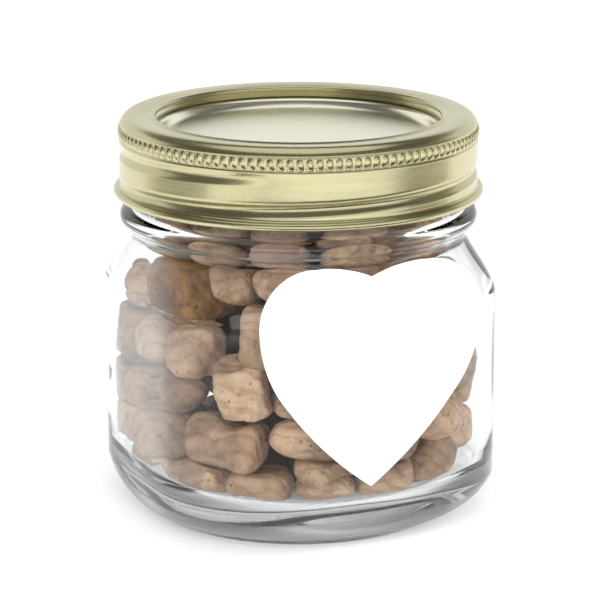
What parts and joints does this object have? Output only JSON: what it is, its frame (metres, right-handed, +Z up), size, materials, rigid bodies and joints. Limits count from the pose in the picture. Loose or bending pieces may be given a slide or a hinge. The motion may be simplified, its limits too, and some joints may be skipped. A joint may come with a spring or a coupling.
{
  "type": "glass storage jar with two-piece screw closure",
  "caption": "Square-bodied glass jar with a screw band and lid disc, a heart label and loose chunks inside; turning the band lifts the closure clear.",
  "frame": {"origin": "centre of the foot ring, on the plane the jar stands on", "axes": "+Z up along the axis of the mouth; the label is on the -Y face"},
  "size_m": [0.073, 0.073, 0.0794],
  "materials": {
    "glass": "clear gloss",
    "band_metal": "satin pale gold lacquer on tinplate",
    "lid_metal": "matte pale gold lacquer on tinplate",
    "compound": "soft plastisol",
    "label": "smooth white paper",
    "chunk_light": "dry matte, pitted",
    "chunk_mid": "dry matte, pitted",
    "chunk_dark": "dry matte, pitted"
  },
  "bodies": {
    "jar": {"glass_jar": "glass", "heart_label": "label", "chunk_01": "chunk_dark", "chunk_02": "chunk_light", "chunk_03": "chunk_mid", "chunk_04": "chunk_dark", "chunk_05": "chunk_light", "chunk_06": "chunk_mid", "chunk_07": "chunk_dark", "chunk_08": "chunk_light", "chunk_09": "chunk_mid", "chunk_10": "chunk_dark", "chunk_11": "chunk_light", "chunk_12": "chunk_mid", "chunk_13": "chunk_dark", "chunk_14": "chunk_light", "chunk_15": "chunk_mid", "chunk_16": "chunk_dark", "chunk_17": "chunk_light", "chunk_18": "chunk_mid", "chunk_19": "chunk_dark", "chunk_20": "chunk_light", "chunk_21": "chunk_mid", "chunk_22": "chunk_dark", "chunk_23": "chunk_light", "chunk_24": "chunk_mid", "chunk_25": "chunk_dark", "chunk_26": "chunk_light", "chunk_27": "chunk_mid", "chunk_28": "chunk_dark", "chunk_29": "chunk_light", "chunk_30": "chunk_mid", "chunk_31": "chunk_dark", "chunk_32": "chunk_light", "chunk_33": "chunk_mid", "chunk_34": "chunk_dark", "chunk_35": "chunk_light", "chunk_36": "chunk_mid", "chunk_37": "chunk_dark", "chunk_38": "chunk_light", "chunk_39": "chunk_mid", "rear_chunks_1": "chunk_dark", "rear_chunks_2": "chunk_light", "rear_chunks_3": "chunk_mid", "rear_chunks_4": "chunk_dark", "rear_chunks_5": "chunk_light", "rear_chunks_6": "chunk_mid", "core_chunks_1": "chunk_dark", "core_chunks_2": "chunk_light", "core_chunks_3": "chunk_mid", "core_chunks_4": "chunk_dark", "core_chunks_5": "chunk_light", "core_chunks_6": "chunk_mid"},
    "lid": {"lid_disc": "lid_metal", "sealing_ring": "compound"},
    "band": {"screw_band": "band_metal"}
  },
  "joints": [
    {"name": "closure_rise", "type": "slide", "parent": "jar", "child": "lid", "axis": [0, 0, 1], "range_m": [0, 0.0217]},
    {"name": "band_turn", "type": "hinge", "parent": "lid", "child": "band", "pos_m": [0, 0, 0.07], "axis": [0, 0, 1], "range_deg": [0, 1261]}
  ],
  "couplings": [
    {"joint": "band_turn", "follows": "closure_rise", "rad_per_m": 1013.4}
  ]
}
